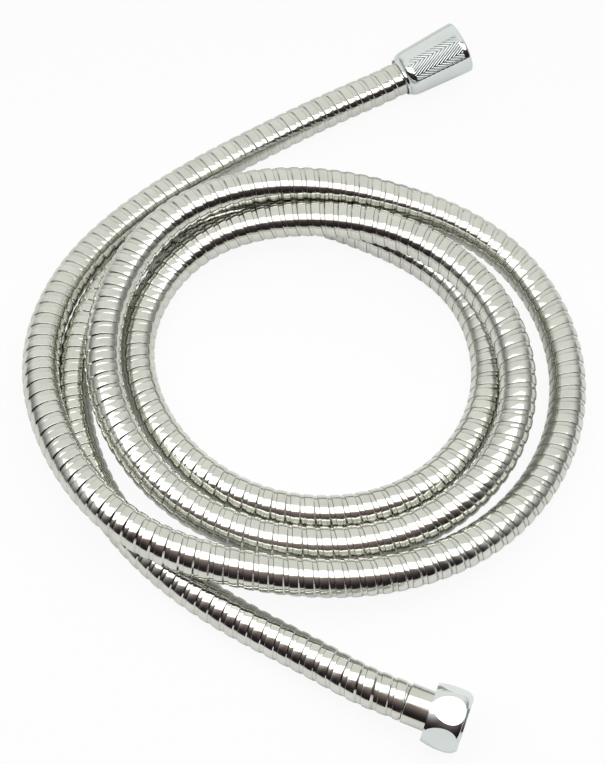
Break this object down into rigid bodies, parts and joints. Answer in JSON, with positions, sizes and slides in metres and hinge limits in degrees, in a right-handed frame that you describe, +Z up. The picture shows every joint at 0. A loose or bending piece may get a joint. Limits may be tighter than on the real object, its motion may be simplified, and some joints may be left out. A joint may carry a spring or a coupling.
{
  "type": "shower hose",
  "caption": "Flexible metal shower hose in a loose coil, with a conical hand nut on one end and a hexagonal nut on the other.",
  "frame": {"origin": "on the ground, under the middle of the hose's overall box", "axes": "+Z up, +Y from the hexagonal nut's end towards the conical nut's end, +X towards the side both nuts point to"},
  "size_m": [0.246, 0.352, 0.0332],
  "materials": {
    "sheath_steel": "polished interlocked steel strip",
    "tube_plastic": "plain extruded plastic",
    "nut_chrome": "bright chrome plate",
    "insert_brass": "turned brass",
    "washer_rubber": "moulded rubber"
  },
  "bodies": {
    "hose": {"outer_sheath": "sheath_steel", "inner_tube": "tube_plastic", "cone_ferrule": "nut_chrome", "cone_insert": "insert_brass", "cone_washer": "washer_rubber", "hex_ferrule": "nut_chrome", "hex_insert": "insert_brass", "hex_washer": "washer_rubber"},
    "cone_nut": {"cone_nut": "nut_chrome"},
    "hex_nut": {"hex_nut": "nut_chrome"}
  },
  "joints": [
    {"name": "cone_nut_spin", "type": "hinge", "parent": "hose", "child": "cone_nut", "pos_m": [0.05331, 0.15422, 0.0115], "axis": [0.8851, 0.4363, 0.1621], "continuous": true},
    {"name": "hex_nut_spin", "type": "hinge", "parent": "hose", "child": "hex_nut", "pos_m": [0.05181, -0.16094, 0.0121], "axis": [0.9369, -0.3497, 0], "continuous": true}
  ]
}
